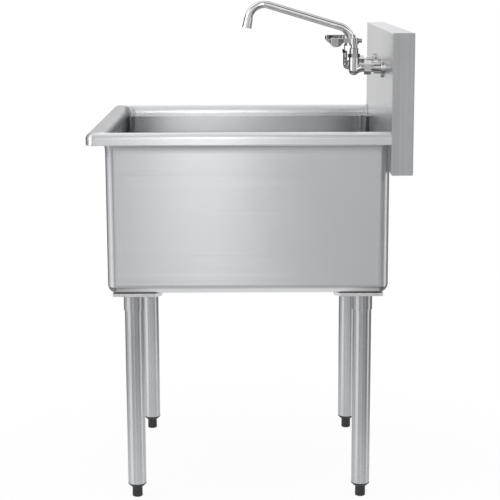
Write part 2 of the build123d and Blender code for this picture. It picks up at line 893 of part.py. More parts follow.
def lever_side_view():
    """Flat-topped lever whose end hangs down in a deep rounded paddle."""
    tip_y = tap_y - lever_reach
    belly_z = lever_top_z - paddle_depth
    neck_z = lever_top_z - lever_neck_depth
    with BuildLine() as outline:
        top = Line((tap_y, lever_top_z), (tip_y + paddle_nose, lever_top_z))
        tip = TangentArc(top @ 1, (tip_y, lever_top_z - paddle_nose), tangent=top % 1)
        chin = Line(tip @ 1, (tip_y, lever_top_z - paddle_chin))
        belly = ThreePointArc(
            chin @ 1,
            (tip_y + paddle_belly, belly_z),
            (paddle_back_y, neck_z - throat_drop),
        )
        throat = Line(belly @ 1, (paddle_back_y + throat_run, neck_z))
        neck = Line(throat @ 1, (tap_y, neck_z))
        Line(neck @ 1, top @ 0)
    return outline


def lever_plan(x):
    """Narrow neck that widens to the rounded paddle."""
    tip_y = tap_y - lever_reach
    neck = lever_neck_width / 2
    wide = paddle_width / 2
    neck_end_y = paddle_back_y + throat_run
    shoulder_y = neck_end_y - shoulder_run
    with BuildLine() as outline:
        right = Polyline(
            (x + neck, tap_y),
            (x + neck, neck_end_y),
            (x + wide, shoulder_y),
            (x + wide, tip_y + wide / 2),
        )
        end = ThreePointArc(right @ 1, (x, tip_y), (x - wide, tip_y + wide / 2))
        Polyline(
            end @ 1,
            (x - wide, shoulder_y),
            (x - neck, neck_end_y),
            (x - neck, tap_y),
            right @ 0,
        )
    return outline


def lever_handle(x):
    """Hub, lever and rear boss, bored for the stem, its screw and the cap."""
    with BuildPart() as handle:
        with BuildSketch(Plane.YZ.offset(x - paddle_width)):
            add(lever_side_view().line)
            make_face()
        extrude(amount=2 * paddle_width)
        with BuildSketch(Plane.XY.offset(lever_top_z - 2 * paddle_depth)):
            add(lever_plan(x).line)
            make_face()
        extrude(amount=3 * paddle_depth, mode=Mode.INTERSECT)
        rims = handle.faces().sort_by(Axis.Z)[-1].edges().sort_by(Axis.Y)[:-1]
        fillet(rims, lever_edge)
        with BuildSketch(Plane((x, tap_y, hub_bottom_z))):
            Circle(hub_radius)
        extrude(amount=hub_height)
        chamfer(handle.faces().sort_by(Axis.Z)[-1].edges(), hub_edge)
        with BuildSketch(along_y(tap_y)):
            with Locations((x, screw_z)):
                Circle(boss_radius)
        extrude(amount=-boss_reach)
        with BuildSketch(Plane((x, tap_y, hub_bottom_z))):
            Circle(stem_radius + running_clearance)
        extrude(amount=stem_top_z - hub_bottom_z, mode=Mode.SUBTRACT)
        with BuildSketch(along_y(tap_y)):
            with Locations((x, screw_z)):
                Circle(handle_screw_radius + running_clearance)
        extrude(amount=-boss_reach, mode=Mode.SUBTRACT)
        with BuildSketch(Plane((x, tap_y, hub_top_z))):
            Circle(index_radius + running_clearance)
        extrude(amount=index_proud - index_height, mode=Mode.SUBTRACT)
    return handle


for side_name, side in SIDES.items():
    x = side * valve_x
    save(valve_stem(x), f"valve_stem_{side_name}")
    save(lever_handle(x), f"lever_handle_{side_name}")
    with BuildPart() as handle_set_screw:
        with BuildSketch(along_y(tap_y + stem_radius + running_clearance)):
            with Locations((x, screw_z)):
                Circle(handle_screw_radius)
        extrude(amount=stem_radius + running_clearance - boss_reach + handle_screw_recess)
    save(handle_set_screw, f"handle_set_screw_{side_name}")
    with BuildPart() as index_cap:
        with BuildSketch(Plane((x, tap_y, hub_top_z + index_proud))):
            Circle(index_radius)
        extrude(amount=-index_height)
        fillet(index_cap.faces().sort_by(Axis.Z)[-1].edges(), index_edge)
    save(index_cap, f"index_cap_{side_name}")

# --- Spout ---------------------------------------------------------------------------
heel_turn = 90 - spout_slope
nose_turn = 90 + spout_slope - spout_nose_tilt
with BuildLine(Plane.YZ) as spout_path:
    rise = Line((tap_y, post_floor_z + free_clearance), (tap_y, spout_nut_top_z + spout_straight))
    heel = JernArc(rise @ 1, rise % 1, spout_heel_radius, heel_turn)
    run = PolarLine(heel @ 1, spout_run, direction=heel % 1)
    nose = JernArc(run @ 1, run % 1, spout_nose_radius, nose_turn)
    drop = PolarLine(nose @ 1, spout_drop, direction=nose % 1)
spout_end = spout_path.line @ 1
spout_heading = spout_path.line % 1

with BuildPart() as swing_spout:
    with BuildSketch(Plane((0, tap_y, post_floor_z + free_clearance))):
        Circle(spout_radius)
        Circle(spout_radius - spout_wall, mode=Mode.SUBTRACT)
    sweep(path=spout_path.line)
    extrude(
        ring(Plane((0, tap_y, spout_collar_z)), spout_collar_radius, spout_radius - spout_wall / 2),
        amount=spout_collar_height,
    )
save(swing_spout, "swing_spout")

with BuildPart() as spout_washer:
    extrude(
        ring(Plane((0, tap_y, post_top_z)), spout_collar_radius, spout_radius + free_clearance),
        amount=spout_washer_height,
    )
save(spout_washer, "spout_washer")

with BuildPart() as spout_nut:
    with BuildSketch(Plane((0, tap_y, spout_nut_bottom_z))):
        RegularPolygon(spout_nut_radius, 6)
    extrude(amount=spout_nut_step_z - spout_nut_bottom_z)
    with BuildSketch(Plane((0, tap_y, spout_nut_step_z))):
        Circle(spout_nut_radius * cos(radians(30)))
    extrude(amount=spout_nut_cap)
    fillet(spout_nut.faces().sort_by(Axis.Z)[-1].edges(), spout_nut_edge)
    with BuildSketch(Plane((0, tap_y, spout_nut_bottom_z))):
        Circle(post_radius + running_clearance)
    extrude(amount=spout_nut_step_z - spout_nut_bottom_z, mode=Mode.SUBTRACT)
    with BuildSketch(Plane((0, tap_y, spout_nut_step_z))):
        Circle(spout_radius + free_clearance)
    extrude(amount=spout_nut_cap, mode=Mode.SUBTRACT)
save(spout_nut, "spout_nut")

sleeve_top = spout_end - spout_heading * outlet_sleeve_lap
sleeve_plane = Plane(sleeve_top, x_dir=(1, 0, 0), z_dir=spout_heading)
with BuildPart() as spout_outlet:
    with BuildSketch(sleeve_plane):
        Circle(outlet_sleeve_top_radius)
    with BuildSketch(sleeve_plane.offset(outlet_sleeve_length)):
        Circle(outlet_sleeve_radius)
    loft()
    with BuildSketch(sleeve_plane):
        Circle(spout_radius + running_clearance)
    extrude(amount=outlet_sleeve_lap, mode=Mode.SUBTRACT)
    with BuildSketch(sleeve_plane):
        Circle(aerator_radius + running_clearance)
    extrude(amount=outlet_sleeve_length, mode=Mode.SUBTRACT)
save(spout_outlet, "spout_outlet")

with BuildPart() as aerator_screen:
    with BuildSketch(sleeve_plane.offset(outlet_sleeve_length - 2 * aerator_thickness)):
        Circle(aerator_radius)
        with PolarLocations(aerator_hole_circle, aerator_holes):
            Circle(aerator_hole_radius, mode=Mode.SUBTRACT)
    extrude(amount=aerator_thickness)
save(aerator_screen, "aerator_screen")
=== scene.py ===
"""Looks of a free-standing utility laundry sink with a swing-spout tap.

Metres, in the part's own frame: +X the user's right, +Y back to the wall, +Z up, with the
floor at Z = 0. The picture is taken from the user's right, a little above the rim.
"""

from math import cos, pi, radians, sin, tau
from random import Random

import bmesh
import bpy
from mathutils import Matrix, Vector


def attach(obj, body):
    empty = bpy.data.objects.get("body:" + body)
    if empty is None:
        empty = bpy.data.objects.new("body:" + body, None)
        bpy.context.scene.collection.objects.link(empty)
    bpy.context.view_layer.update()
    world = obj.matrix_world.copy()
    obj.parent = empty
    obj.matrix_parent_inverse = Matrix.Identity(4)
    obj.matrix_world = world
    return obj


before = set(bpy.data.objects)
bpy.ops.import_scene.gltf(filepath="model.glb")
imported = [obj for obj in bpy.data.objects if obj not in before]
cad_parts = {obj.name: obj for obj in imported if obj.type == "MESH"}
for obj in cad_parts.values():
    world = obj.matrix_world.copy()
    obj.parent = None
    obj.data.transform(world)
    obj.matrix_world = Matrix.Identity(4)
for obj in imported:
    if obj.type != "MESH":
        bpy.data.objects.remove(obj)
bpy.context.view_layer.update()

MM = 0.001

# --- Sizes of the CAD model that the details follow, in millimetres ------------------------
BOWL_CORNER = (285.0, -289.0)
BOWL_MIDDLE = -4.0
WALL_RADIUS = 21.2
INNER_HALF = 305.0
WALL_TOP = 809.2
RIM_TOP = 835.4
RIM_REAR = 301.0
RIM_INNER_RADIUS = 18.0
RIM_OUTER_RADIUS = 12.0
MITRE_INNER = 20.0
MITRE_OUTER = 73.74
RIM_FACE = 58.0
SOCKETS = {
    "front_left": (-253, -257),
    "front_right": (253, -257),
    "rear_left": (-253, 249),
    "rear_right": (253, 249),
}
SOCKET_RADIUS = 22.4
PLATE_UNDERSIDE = 475.0
TAP_HALF_CENTRES = 101.6
INLET_HEIGHT = 957.2

# --- Sizes of the details, in millimetres --------------------------------------------------
FLARE_DROP = 26.0
FLARE_REACH = 3.2
CORNER_BLEND = 6.0
# Reach along the inner walls over which painted shade darkens the bowl's colour towards its
# corners.
PAINTED_CORNER_SHADE_REACH = (200.0, 297.0)

# --- Camera ------------------------------------------------------------------------------
CAMERA_PLACE = Vector((3.38129, 0.00598, 1.16678))
CAMERA_TILT_DOWN = 10.836
CAMERA_TURN = 90.093
CAMERA_ROLL = -0.229
CAMERA_LENS = 104.09
CAMERA_SENSOR = 36.0

# --- Studio ------------------------------------------------------------------------------
# Brightness of the studio walls by direction, in degrees from +X towards +Y: the walls in
# general, and the band at eye level, which shows in upright metal.
WALL_TONES = [
    (-180, 0.80),
    (-166, 0.80),
    (-158, 0.40),
    (-122, 0.50),
    (-113, 1.00),
    (-60, 1.00),
    (-30, 0.92),
    (-22, 0.82),
    (-9, 0.76),
    (1, 0.74),
    (7, 0.66),
    (12, 0.55),
    (30, 0.55),
    (36, 0.80),
    (44, 0.80),
    (50, 0.50),
    (68, 0.50),
    (76, 1.10),
    (98, 1.10),
    (105, 0.45),
    (160, 0.45),
    (168, 0.85),
    (180, 0.80),
]
EYE_LEVEL_TONES = [
    (-180, 0.85),
    (-166, 0.85),
    (-158, 0.06),
    (-112, 0.06),
    (-103, 0.50),
    (-84, 0.50),
    (-77, 1.90),
    (-44, 1.90),
    (-37, 0.30),
    (-28, 0.28),
    (-21, 0.64),
    (-9, 0.64),
    (1, 0.62),
    (7, 0.54),
    (12, 0.45),
    (34, 0.42),
    (40, 0.10),
    (70, 0.08),
    (76, 1.90),
    (92, 1.90),
    (98, 0.03),
    (158, 0.05),
    (166, 1.15),
    (176, 1.00),
    (180, 0.85),
]
CEILING_TONE = 0.45
HIGH_TONE = 0.16
LOW_TONE = 0.24
NEAR_FLOOR_TONE = 0.72
BACK_LOW_TONE = 0.80
BACK_HIGH_TONE = 1.25
UPPER_RIGHT_LIFT = 0.9
STRIP_TONE = 0.3
STRIP_HIGH_TONE = 2.4
STRIP_EDGES = (-4.4, -3.2, -1.1, 0.7)
FLOOR_RADIUS = 1.1
FLOOR_FADE = 0.5


class Graph:
    """Adds and joins the shader nodes of one tree."""

    def __init__(self, tree):
        self.tree = tree

    def node(self, kind, values=None, **settings):
        node = self.tree.nodes.new(kind)
        for name, value in settings.items():
            setattr(node, name, value)
        for socket, value in (values or {}).items():
            self.feed(node, socket, value)
        return node

    def feed(self, node, socket, value):
        """Joins an output to a node's input, or sets the input to a plain value."""
        if isinstance(value, bpy.types.NodeSocket):
            self.tree.links.new(value, node.inputs[socket])
        else:
            node.inputs[socket].default_value = value

    def math(self, operation, first, second=0.0, clamp=False):
        values = {0: first, 1: second}
        return self.node("ShaderNodeMath", values, operation=operation, use_clamp=clamp).outputs[0]

    def spread(self, value, low, high, to_low=0.0, to_high=1.0, smooth=False):
        """Maps low..high onto to_low..to_high, held at both ends."""
        kind = "SMOOTHSTEP" if smooth else "LINEAR"
        values = {0: value, 1: low, 2: high, 3: to_low, 4: to_high}
        return self.node("ShaderNodeMapRange", values, interpolation_type=kind).outputs[0]

    def blend(self, factor, first, second):
        """Mixes two numbers."""
        return self.node("ShaderNodeMix", {0: factor, 2: first, 3: second}).outputs[0]

    def tint(self, factor, first, second):
        """Mixes two colours."""
        values = {0: factor, 6: first, 7: second}
        return self.node("ShaderNodeMix", values, data_type="RGBA").outputs[2]

    def place(self):
        """The point's place on the object, in metres."""
        return self.node("ShaderNodeTexCoord").outputs["Object"]

    def normal(self):
        return self.node("ShaderNodeNewGeometry").outputs["Normal"]

    def noise(self, vector, stretch=(1, 1, 1), scale=1.0, detail=2.0, roughness=0.5):
        """Noise whose grain is finer along the axes with more stretch."""
        scaled = self.node("ShaderNodeMapping", {"Vector": vector, "Scale": stretch}).outputs[0]
        values = {"Vector": scaled, "Scale": scale, "Detail": detail, "Roughness": roughness}
        return self.node("ShaderNodeTexNoise", values).outputs["Fac"]

    def bump(self, height, depth):
        """Bump of a real depth in metres."""
        return self.node("ShaderNodeBump", {"Height": height, "Distance": depth}).outputs[0]


def grey(level):
    return (level, level, level, 1.0)


def steel_tint(level):
    """The faintly blue grey of stainless sheet."""
    return (level * 0.99, level, level * 1.025, 1.0)


def material(name, **constants):
    """Principled material with its constant sockets set, and the graph of its tree."""
    result = bpy.data.materials.new(name)
    result.use_nodes = True
    shader = result.node_tree.nodes["Principled BSDF"]
    for socket, value in constants.items():
        shader.inputs[socket.replace("_", " ")].default_value = value
    return result, Graph(result.node_tree), shader


# --- Metals ------------------------------------------------------------------------------
WALL_GRAIN = (1.5, 1.5, 420.0)
SIDE_GRAIN = (420.0, 0.7, 420.0)
FRONT_GRAIN = (1.5, 420.0, 420.0)
UPRIGHT_GRAIN = (300.0, 300.0, 1.0)


def brushed_steel(
    name, grain, level, roughness, anisotropy=0.7, along=None, contrast=0.10, depth=0.000008
):
    """Sheet with a linear brushed grain: fine streaks in tone, gloss and height."""
    result, graph, shader = material(name, Metallic=1.0, Anisotropic=anisotropy)
    place = graph.place()
    fine = graph.noise(place, grain, 1.0, 3.0, 0.6)
    broad = graph.noise(place, tuple(0.12 * size for size in grain), 1.0, 2.0)
    clouds = graph.noise(place, scale=5.0, detail=3.0)
    streaks = graph.blend(0.35, fine, broad)
    tone = graph.blend(0.4, streaks, clouds)
    dark, light = (steel_tint(level * (1 + change)) for change in (-contrast, contrast))
    colour = graph.tint(graph.spread(tone, 0.36, 0.64), dark, light)
    graph.feed(shader, "Base Color", colour)
    gloss = graph.spread(streaks, 0.3, 0.7, roughness * 0.85, roughness * 1.15)
    graph.feed(shader, "Roughness", gloss)
    graph.feed(shader, "Normal", graph.bump(fine, depth))
    if along is None:
        across = graph.node("ShaderNodeCombineXYZ", {0: 0.01, 2: 1.0}).outputs[0]
    else:
        grain_way = graph.node("ShaderNodeCombineXYZ", dict(enumerate(along))).outputs[0]
        values = {0: graph.normal(), 1: grain_way}
        across = graph.node("ShaderNodeVectorMath", values, operation="CROSS_PRODUCT").outputs[0]
    graph.feed(shader, "Tangent", across)
    return result


def galvanised(name, level):
    """Dull plated steel with soft patches."""
    result, graph, shader = material(name, Metallic=1.0)
    place = graph.place()
    patches = graph.noise(place, scale=160.0, detail=3.0)
    colour = graph.tint(graph.spread(patches, 0.35, 0.65), grey(level * 0.9), grey(level * 1.1))
    graph.feed(shader, "Base Color", colour)
    graph.feed(shader, "Roughness", graph.spread(patches, 0.3, 0.7, 0.30, 0.42))
    graph.feed(shader, "Normal", graph.bump(graph.noise(place, scale=900.0), 0.00002))
    return result


def chrome(name, level):
    """Bright plating over castings, with a trace of waviness and smudging."""
    result, graph, shader = material(name, Metallic=1.0)
    place = graph.place()
    smudge = graph.noise(place, scale=90.0, detail=4.0)
    colour = graph.tint(graph.spread(smudge, 0.3, 0.7), grey(level * 0.95), grey(level * 1.05))
    graph.feed(shader, "Base Color", colour)
    graph.feed(shader, "Roughness", graph.spread(smudge, 0.3, 0.7, 0.03, 0.07))
    graph.feed(shader, "Normal", graph.bump(graph.noise(place, scale=70.0, detail=1.0), 0.00012))
    return result


def plain_metal(name, colour, roughness, grain=400.0):
    """Small metal piece with a machined or cast surface."""
    result, graph, shader = material(name, Metallic=1.0)
    place = graph.place()
    speckle = graph.noise(place, scale=grain, detail=3.0)
    dark = (*(0.85 * part for part in colour), 1.0)
    toned = graph.tint(graph.spread(speckle, 0.3, 0.7), dark, (*colour, 1.0))
    graph.feed(shader, "Base Color", toned)
    gloss = graph.spread(speckle, 0.3, 0.7, roughness * 0.8, roughness * 1.2)
    graph.feed(shader, "Roughness", gloss)
    graph.feed(shader, "Normal", graph.bump(speckle, 0.00003))
    return result


def moulded(name, colour, roughness, texture=700.0, depth=0.00004):
    """Moulded plastic, rubber or fibre with a fine skin."""
    result, graph, shader = material(name)
    place = graph.place()
    skin = graph.noise(place, scale=texture, detail=4.0)
    scuffs = graph.noise(place, scale=45.0, detail=5.0, roughness=0.7)
    worn = graph.math("MULTIPLY", graph.spread(scuffs, 0.5, 0.8), 0.5)
    light = (*(min(1.0, part * 1.5 + 0.01) for part in colour), 1.0)
    graph.feed(shader, "Base Color", graph.tint(worn, (*colour, 1.0), light))
    gloss = graph.spread(scuffs, 0.3, 0.8, roughness * 0.85, roughness * 1.15)
    graph.feed(shader, "Roughness", gloss)
    graph.feed(shader, "Normal", graph.bump(skin, depth))
    return result


def dress(*nodes, finish):
    """Gives CAD nodes a finish in all their material slots."""
    for name in nodes:
        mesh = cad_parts[name].data
        for index in range(len(mesh.materials)):
            mesh.materials[index] = finish


CORNERS = ["front_left", "front_right", "rear_left", "rear_right"]
SIDES = ["left", "right"]


def each(pattern, names):
    return [pattern.format(name) for name in names]


def bowl_steel_painted_corners():
    """Brushed sheet with painted shade darkening the bowl's inner corners and the ends of its inner
    walls, and a painted highlight lightening its outer corners, which are also duller.
    """
    result = brushed_steel("bowl_steel_painted_corners", WALL_GRAIN, 0.72, 0.22, 1.0, contrast=0.04, depth=0.000004)
    graph = Graph(result.node_tree)
    shader = result.node_tree.nodes["Principled BSDF"]
    place = graph.node("ShaderNodeSeparateXYZ", {0: graph.place()})
    centre = (BOWL_CORNER[0] * MM, -BOWL_CORNER[1] * MM + BOWL_MIDDLE * MM)
    across = graph.math("ABSOLUTE", place.outputs["X"])
    along = graph.math("ABSOLUTE", graph.math("SUBTRACT", place.outputs["Y"], BOWL_MIDDLE * MM))
    past_x = graph.math("MAXIMUM", graph.math("SUBTRACT", across, centre[0]), 0.0)
    past_y = graph.math("MAXIMUM", graph.math("SUBTRACT", along, centre[1]), 0.0)
    nearer = graph.math("MINIMUM", past_x, past_y)
    corner = graph.spread(nearer, 0.0, CORNER_BLEND * MM, smooth=True)
    square_x = graph.math("MULTIPLY", past_x, past_x)
    square_y = graph.math("MULTIPLY", past_y, past_y)
    square = graph.math("ADD", square_x, square_y)
    # Painted shade and highlight: the inner corners' colour is darkened to 0.45, the outer corners'
    # lightened to 1.3.
    outer = graph.math("GREATER_THAN", square, ((WALL_RADIUS - 0.6) * MM) ** 2)
    shade = graph.math("ADD", graph.math("MULTIPLY", outer, 0.85), 0.45)
    furthest = graph.math("MAXIMUM", across, along)
    outside = graph.math("GREATER_THAN", furthest, (INNER_HALF + 0.6) * MM)
    near, far = (reach * MM for reach in PAINTED_CORNER_SHADE_REACH)
    # Painted shade: each inner wall's colour darkens towards its ends, down to 0.52.
    painted_wall_end_shade = graph.spread(graph.math("MINIMUM", across, along), near, far, 0.98, 0.52, True)
    level = graph.blend(corner, graph.math("MAXIMUM", outside, painted_wall_end_shade), shade)
    # The painted corner shade and highlight multiply the sheet's own colour.
    colour = shader.inputs["Base Color"].links[0].from_socket
    tone = graph.node("ShaderNodeCombineXYZ", {0: level, 1: level, 2: level}).outputs[0]
    values = {0: 1.0, 6: colour, 7: tone}
    mixed = graph.node("ShaderNodeMix", values, data_type="RGBA", blend_type="MULTIPLY")
    toned = mixed.outputs[2]
    graph.feed(shader, "Base Color", toned)
    gloss = shader.inputs["Roughness"].links[0].from_socket
    graph.feed(shader, "Roughness", graph.blend(corner, gloss, 0.60))
    return result


def dress_sink():
    sheet = bowl_steel_painted_corners()
    dress("sink_bowl", finish=sheet)
    add_wall_flare(sheet)
    along = (0, 1, 0)
    # Painted light and shade: the side rims get a much lighter copy of the rim steel, the front rim
    # a much darker one.
    lit_side_rim = brushed_steel("side_rim_steel_painted_light", SIDE_GRAIN, 0.92, 0.28, 1.0, along, 0.03, 0.000003)
    dress("rim_left", "rim_right", finish=lit_side_rim)
    shaded_front_rim = brushed_steel("front_rim_steel_painted_shade", FRONT_GRAIN, 0.46, 0.40, 0.6, along=(1, 0, 0))
    dress("rim_front", finish=shaded_front_rim)
    dress("backsplash", finish=brushed_steel("splash_steel", WALL_GRAIN, 0.58, 0.22, 0.9))
    upright = brushed_steel("cap_steel", UPRIGHT_GRAIN, 0.56, 0.34, 0.6, (0, 0, 1), 0.15)
    dress(*each("end_cap_{}", SIDES), finish=upright)


def dress_legs():
    dress(*each("gusset_plate_{}", CORNERS), finish=galvanised("plate_steel", 0.80))
    socket = brushed_steel("socket_steel", UPRIGHT_GRAIN, 0.50, 0.28, 0.9)
    dress(*each("leg_socket_{}", CORNERS), finish=socket)
    tube = brushed_steel("leg_tube_steel", UPRIGHT_GRAIN, 0.51, 0.25, 1.0)
    dress(*each("leg_tube_{}", CORNERS), finish=tube)
    feet = moulded("foot_plastic", (0.022, 0.023, 0.025), 0.62)
    dress(*each("foot_insert_{}", CORNERS), *each("bullet_foot_{}", CORNERS), finish=feet)
    screws = plain_metal("screw_steel", (0.25, 0.25, 0.26), 0.35)
    dress("leg_set_screws", *each("handle_set_screw_{}", SIDES), finish=screws)


def dress_drain():
    steel = plain_metal("strainer_steel", (0.70, 0.70, 0.70), 0.14)
    dress("strainer_body", "strainer_basket", finish=steel)
    rubber = moulded("seal_rubber", (0.03, 0.03, 0.032), 0.6, 500.0)
    dress("strainer_seal", "drain_gasket", "basket_stopper", "spout_washer", finish=rubber)
    fibre = moulded("friction_fibre", (0.36, 0.28, 0.19), 0.75, 1200.0, 0.0001)
    dress("friction_ring", finish=fibre)
    dress("drain_locknut", finish=plain_metal("nut_zinc", (0.56, 0.56, 0.54), 0.42, 600.0))


def dress_tap():
    bright = chrome("tap_chrome", 0.62)
    deep = chrome("handle_chrome", 0.46)
    shanks = each("inlet_shank_{}", SIDES)
    dress("faucet_body", "coupling_nuts", "wall_flanges", *shanks, finish=bright)
    handles = each("lever_handle_{}", SIDES) + each("index_cap_{}", SIDES)
    dress("bonnet_nuts", "packing_nuts", "spout_nut", *handles, finish=deep)
    dress("swing_spout", "spout_outlet", finish=chrome("spout_chrome", 0.85))
    brass = plain_metal("tap_brass", (0.70, 0.52, 0.24), 0.25)
    dress(*each("valve_stem_{}", SIDES), "shank_locknuts", finish=brass)
    dress("aerator_screen", finish=moulded("aerator_plastic", (0.16, 0.16, 0.17), 0.5))


# --- Details -----------------------------------------------------------------------------
def skin(name, rings, finish, slot, closed=False):
    """Piece of the sink skinned over rings of points, which meet end to end or are capped."""
    shape = bmesh.new()
    loops = [[shape.verts.new(Vector(point) * MM) for point in ring] for ring in rings]
    pairs = list(zip(loops, loops[1:]))
    if closed:
        pairs.append((loops[-1], loops[0]))
    for first, second in pairs:
        for index in range(len(first)):
            follow = (index + 1) % len(first)
            side = shape.faces.new((first[index], first[follow], second[follow], second[index]))
            side.smooth = True
    if not closed:
        shape.faces.new(loops[0])
        shape.faces.new(loops[-1])
    bmesh.ops.recalc_face_normals(shape, faces=shape.faces)
    mesh = bpy.data.meshes.new(name)
    shape.to_mesh(mesh)
    shape.free()
    mesh.materials.append(finish)
    piece = bpy.data.objects.new(name, mesh)
    bpy.context.scene.collection.objects.link(piece)
    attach(piece, "sink")


def add_wall_flare(finish):
    """The sheet's outward bend where the three outer walls run up into the rim."""
    steps = [step / 12 for step in range(13)]
    foot = WALL_TOP - FLARE_DROP
    profile = [(-0.03, foot - 1.5), (-0.03, foot - 0.7)]
    profile += [(FLARE_REACH * step**3 - 0.03, foot + FLARE_DROP * step) for step in steps]
    profile += [(FLARE_REACH, WALL_TOP + 0.6), (-0.6, WALL_TOP + 0.6), (-0.6, foot - 1.5)]
    corner_x, front = BOWL_CORNER
    rear = 2 * BOWL_MIDDLE - front
    straight = [rear + (front - rear) * share for share in (0, 0.01, 0.1, 0.3, 0.5, 0.7, 0.9, 0.99)]
    across = [corner_x * share for share in (0.98, 0.8, 0.4, 0, -0.4, -0.8, -0.98)]
    stations = [(corner_x, rear, angle) for angle in range(48, 0, -6)]
    stations += [(corner_x, y, 0) for y in straight]
    stations += [(corner_x, front, -angle) for angle in range(0, 91, 6)]
    stations += [(x, front, -90) for x in across]
    stations += [(-corner_x, front, -angle) for angle in range(90, 181, 6)]
    stations += [(-corner_x, y, -180) for y in reversed(straight)]
    stations += [(-corner_x, rear, 180 - angle) for angle in range(6, 49, 6)]
    rings = []
    for x, y, angle in stations:
        away = Vector((cos(radians(angle)), sin(radians(angle)), 0))
        rings.append([Vector((x, y, z)) + away * (WALL_RADIUS + out) for out, z in profile])
    skin("wall_flare", rings, finish, "stainless_sheet")


def fillet(centre, height, radius, start, end, step=12):
    """Points of a rounded edge, each with its outward normal, in the plane of a section."""
    count = max(1, round(abs(end - start) / step))
    angles = [radians(start + (end - start) * index / count) for index in range(count + 1)]
    return [(centre + radius * cos(a), height + radius * sin(a), cos(a), sin(a)) for a in angles]


def rim_section(inner, outer, last=0):
    """Section over the rim from its inner wall to its outer face."""
    rise = RIM_TOP - RIM_INNER_RADIUS
    section = [(inner, height, -1, 0) for height in (811, 813, 815)]
    section += fillet(inner + RIM_INNER_RADIUS, rise, RIM_INNER_RADIUS, 180, 90)
    shoulder = outer - RIM_OUTER_RADIUS
    flat = shoulder - inner - RIM_INNER_RADIUS
    count = max(2, round(flat / 2.5))
    start = inner + RIM_INNER_RADIUS
    section += [(start + flat * step / count, RIM_TOP, 0, 1) for step in range(1, count)]
    section += fillet(shoulder, RIM_TOP - RIM_OUTER_RADIUS, RIM_OUTER_RADIUS, 90, last)
    return section


def add_mitre_welds(finish):
    """Ground welds over the rim's two front mitres, rough at the inner and outer ends."""
    for side, name in ((-1, "left"), (1, "right")):
        dice = Random(7 + side)
        out = Vector((side, -1, 0)).normalized()
        over = Vector((side, 1, 0)).normalized()
        origin = Vector((side * BOWL_CORNER[0], BOWL_CORNER[1], 0))
        section = rim_section(MITRE_INNER, MITRE_OUTER)
        section += [(MITRE_OUTER, height, 1, 0) for height in (821, 819, 817, 815, 813)]
        rings = []
        for distance, height, tilt_out, tilt_up in section:
            end = max(0.0, (MITRE_INNER + 14 - distance) / 14, (distance - MITRE_OUTER + 8) / 8)
            half = 2.2 + 3.2 * end + dice.uniform(-0.5, 0.9)
            crown = 0.75 + 0.25 * end + dice.uniform(-0.1, 0.12 + 0.2 * end)
            normal = out * tilt_out + Vector((0, 0, tilt_up))
            base = origin + out * distance + Vector((0, 0, height))
            ring = []
            for step in range(-4, 5):
                across = step / 4
                rough = dice.uniform(-0.12, 0.12) * end
                lift = crown * (1 - across**2) - 0.45 - (half * across) ** 2 / 40
                lift += rough * (abs(step) < 4)
                ring.append(base + over * half * across + normal * lift)
            ring += [base + over * half * across - normal * 1.9 for across in (0.9, -0.9)]
            rings.append(ring)
        skin(f"mitre_weld_{name}", rings, finish, "stainless_sheet")


def bead(base, radius, first, second):
    """Round section of a weld bead, in the plane of two directions."""
    angles = [tau * step / 8 for step in range(8)]
    return [base + radius * (first * cos(a) + second * sin(a)) for a in angles]


def add_rim_end_welds(finish):
    """Fine stacked weld beads where the side rims meet the splash."""
    for side, name in ((-1, "left"), (1, "right")):
        section = rim_section(MITRE_INNER, RIM_FACE, 40)
        rings = []
        for index, (distance, height, tilt_out, tilt_up) in enumerate(section):
            normal = Vector((side * tilt_out, 0, tilt_up))
            base = Vector((side * (BOWL_CORNER[0] + distance), RIM_REAR - 0.2, height))
            radius = 1.15 + 0.35 * (index % 2)
            rings.append(bead(base, radius, normal, Vector((0, 1, 0))))
        skin(f"rim_end_weld_{name}", rings, finish, "stainless_sheet")


def add_corner_welds(finish):
    """Rough upright weld beads in the bowl's inner corners, below the rim."""
    reach = (INNER_HALF - BOWL_CORNER[0]) / 2**0.5
    for side, side_name in ((-1, "left"), (1, "right")):
        for end, end_name in ((-1, "front"), (1, "rear")):
            dice = Random(20 + 2 * side + end)
            into = Vector((-side, -end, 0)).normalized()
            x = side * (BOWL_CORNER[0] + reach)
            y = BOWL_MIDDLE + end * (BOWL_MIDDLE - BOWL_CORNER[1] + reach)
            rings = []
            for step in range(40):
                fade = min(1.0, (step + 1) / 4, (40 - step) / 14)
                radius = 0.6 + 0.9 * fade + dice.uniform(-0.3, 0.45) * fade
                shift = Vector((-into.y, into.x, 0)) * dice.uniform(-0.5, 0.5)
                base = Vector((x, y, WALL_TOP + 4 - 1.1 * step)) + shift
                rings.append(bead(base, radius, into, 1.3 * Vector((-into.y, into.x, 0))))
            skin(f"corner_weld_{end_name}_{side_name}", rings, finish, "stainless_sheet")


def add_socket_welds(finish):
    """Weld beads round the leg sockets, under the plates."""
    for name, (x, y) in SOCKETS.items():
        rings = []
        for step in range(72):
            turn = tau * step / 72
            away = Vector((cos(turn), sin(turn), 0))
            radius = 1.7 + 0.25 * cos(18 * turn)
            base = Vector((x, y, PLATE_UNDERSIDE)) + away * SOCKET_RADIUS
            rings.append(bead(base, radius, away, Vector((0, 0, 1))))
        skin(f"socket_weld_{name}", rings, finish, "galvanised_steel", closed=True)


def add_thread(name, centre, along, radius, length, pitch, finish, slot):
    """Helical ridge of a screw thread on a round piece."""
    along = Vector(along)
    side = along.orthogonal().normalized()
    other = along.cross(side)
    turns = length / pitch
    count = round(turns * 32)
    rings = []
    for step in range(count + 1):
        turn = tau * turns * step / count
        away = side * cos(turn) + other * sin(turn)
        base = Vector(centre) + along * (length * step / count)
        fade = min(1.0, step / 16, (count - step) / 16)
        crest = radius - 0.3 + 0.75 * fade
        reach = 0.42 * pitch
        rings.append([
            base - along * reach + away * (radius - 0.35),
            base + away * crest,
            base + along * reach + away * (radius - 0.35),
        ])
    skin(name, rings, finish, slot)


